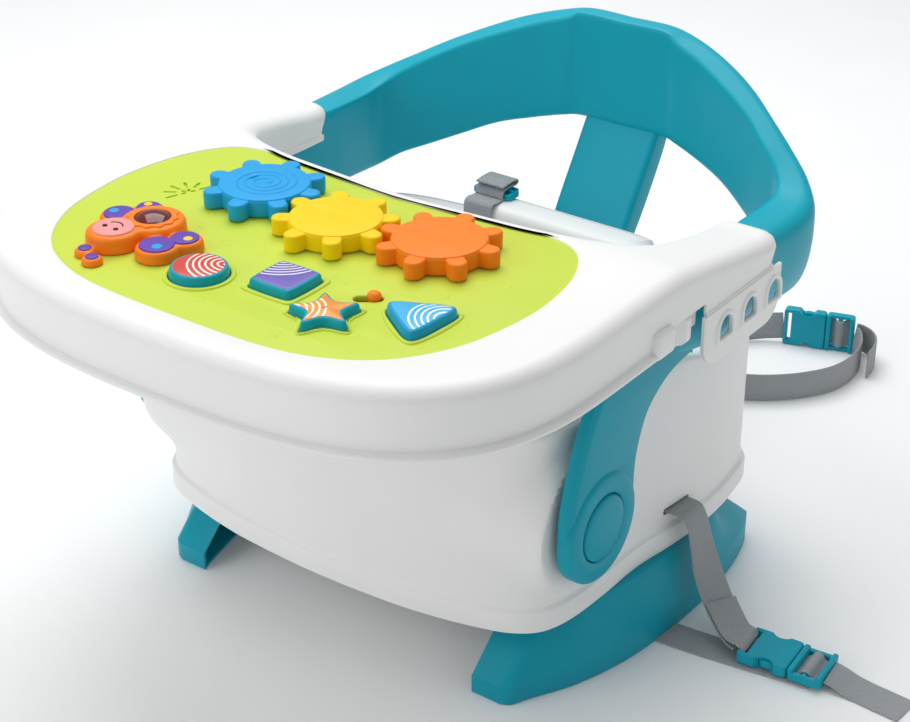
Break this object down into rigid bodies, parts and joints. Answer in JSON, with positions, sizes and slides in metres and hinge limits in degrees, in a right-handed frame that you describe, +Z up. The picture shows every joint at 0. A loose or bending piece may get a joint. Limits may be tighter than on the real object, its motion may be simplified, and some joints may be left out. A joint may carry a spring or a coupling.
{
  "type": "baby floor seat",
  "caption": "Baby floor seat on two feet with a hinged back ring, a sliding play tray with gears and buttons, and webbing straps for tying it to a chair.",
  "frame": {"origin": "on the floor at the middle of the seat, under the middle of its outline without the straps", "axes": "+Z up, -Y to the front, where the child faces, +X to the side of the side strap"},
  "size_m": [0.57, 0.7344, 0.338],
  "materials": {
    "teal_plastic": "satin moulded",
    "white_plastic": "satin moulded",
    "steel": "zinc plated",
    "lime_plastic": "fine texture",
    "battery_can": "printed sleeve",
    "board_green": "solder mask",
    "speaker_black": "matte",
    "orange_plastic": "satin moulded",
    "purple_plastic": "satin moulded",
    "pink_plastic": "satin moulded",
    "lens_red": "ribbed translucent",
    "blue_plastic": "satin moulded",
    "yellow_plastic": "satin moulded",
    "dome_rubber": "matte",
    "webbing": "woven"
  },
  "bodies": {
    "seat": {"base_shell": "white_plastic", "seat_pan": "white_plastic", "base_underside": "white_plastic", "left_foot": "teal_plastic", "right_foot": "teal_plastic", "foot_screws": "steel", "left_hub_pin": "steel", "right_hub_pin": "steel", "left_hub_spring": "steel", "right_hub_spring": "steel", "side_strap_upper": "webbing", "side_strap_lower": "webbing", "side_strap_tail": "webbing", "side_buckle_socket": "teal_plastic", "side_buckle_plug": "teal_plastic", "rear_strap_near": "webbing", "rear_strap_far": "webbing", "rear_strap_tail": "webbing", "rear_buckle_socket": "teal_plastic", "rear_buckle_plug": "teal_plastic", "waist_strap": "webbing", "waist_adjuster": "teal_plastic"},
    "frame": {"left_arm": "teal_plastic", "right_arm": "teal_plastic", "back_ring": "teal_plastic", "back_strut": "teal_plastic", "frame_screws": "steel"},
    "tray": {"tray_shell": "white_plastic", "panel_top": "lime_plastic", "panel_housing": "lime_plastic", "panel_screws": "steel", "battery_door": "lime_plastic", "batteries": "battery_can", "circuit_board": "board_green", "speaker": "speaker_black", "toy_body": "orange_plastic", "toy_wings": "purple_plastic", "toy_face": "pink_plastic", "toy_lens": "lens_red", "round_dome": "dome_rubber", "square_dome": "dome_rubber", "star_dome": "dome_rubber", "triangle_dome": "dome_rubber"},
    "left_hub_button": {"left_hub_button": "teal_plastic"},
    "right_hub_button": {"right_hub_button": "teal_plastic"},
    "left_tray_latch": {"left_tray_latch": "white_plastic"},
    "right_tray_latch": {"right_tray_latch": "white_plastic"},
    "blue_gear": {"blue_gear": "blue_plastic"},
    "yellow_gear": {"yellow_gear": "yellow_plastic"},
    "orange_gear": {"orange_gear": "orange_plastic"},
    "round_button": {"round_button": "teal_plastic"},
    "square_button": {"square_button": "teal_plastic"},
    "star_button": {"star_button": "teal_plastic"},
    "triangle_button": {"triangle_button": "blue_plastic"},
    "mode_switch": {"mode_switch": "orange_plastic"}
  },
  "joints": [
    {"name": "frame_fold", "type": "hinge", "parent": "seat", "child": "frame", "pos_m": [0, -0.0615, 0.129], "axis": [1, 0, 0], "range_deg": [0, 45]},
    {"name": "tray_slide", "type": "slide", "parent": "frame", "child": "tray", "axis": [0, -1, 0], "range_m": [0, 0.062]},
    {"name": "left_hub_press", "type": "slide", "parent": "frame", "child": "left_hub_button", "axis": [1, 0, 0], "range_m": [0, 0.004], "stiffness_N_per_m": 1500, "springref_m": -0.001},
    {"name": "left_latch_press", "type": "slide", "parent": "tray", "child": "left_tray_latch", "axis": [1, 0, 0], "range_m": [0, 0.003], "stiffness_N_per_m": 1000, "springref_m": -0.001},
    {"name": "right_hub_press", "type": "slide", "parent": "frame", "child": "right_hub_button", "axis": [-1, 0, 0], "range_m": [0, 0.004], "stiffness_N_per_m": 1500, "springref_m": -0.001},
    {"name": "right_latch_press", "type": "slide", "parent": "tray", "child": "right_tray_latch", "axis": [-1, 0, 0], "range_m": [0, 0.003], "stiffness_N_per_m": 1000, "springref_m": -0.001},
    {"name": "yellow_gear_turn", "type": "hinge", "parent": "tray", "child": "yellow_gear", "pos_m": [0.0055, -0.099, 0.2965], "axis": [0, 0, 1], "continuous": true},
    {"name": "blue_gear_turn", "type": "hinge", "parent": "tray", "child": "blue_gear", "pos_m": [-0.0642, -0.08545, 0.2965], "axis": [0, 0, 1], "continuous": true},
    {"name": "orange_gear_turn", "type": "hinge", "parent": "tray", "child": "orange_gear", "pos_m": [0.0752, -0.08545, 0.2965], "axis": [0, 0, 1], "continuous": true},
    {"name": "round_press", "type": "slide", "parent": "tray", "child": "round_button", "axis": [0, 0, -1], "range_m": [0, 0.0025], "stiffness_N_per_m": 800, "springref_m": -0.001, "deforming": ["round_dome"]},
    {"name": "square_press", "type": "slide", "parent": "tray", "child": "square_button", "axis": [0, 0, -1], "range_m": [0, 0.0025], "stiffness_N_per_m": 800, "springref_m": -0.001, "deforming": ["square_dome"]},
    {"name": "star_press", "type": "slide", "parent": "tray", "child": "star_button", "axis": [0, 0, -1], "range_m": [0, 0.0025], "stiffness_N_per_m": 800, "springref_m": -0.001, "deforming": ["star_dome"]},
    {"name": "triangle_press", "type": "slide", "parent": "tray", "child": "triangle_button", "axis": [0, 0, -1], "range_m": [0, 0.0025], "stiffness_N_per_m": 800, "springref_m": -0.001, "deforming": ["triangle_dome"]},
    {"name": "mode_slide", "type": "slide", "parent": "tray", "child": "mode_switch", "axis": [-0.809, -0.5878, 0], "range_m": [0, 0.007]}
  ],
  "couplings": [
    {"joint": "blue_gear_turn", "follows": "yellow_gear_turn", "ratio": -1},
    {"joint": "orange_gear_turn", "follows": "yellow_gear_turn", "ratio": -1}
  ]
}
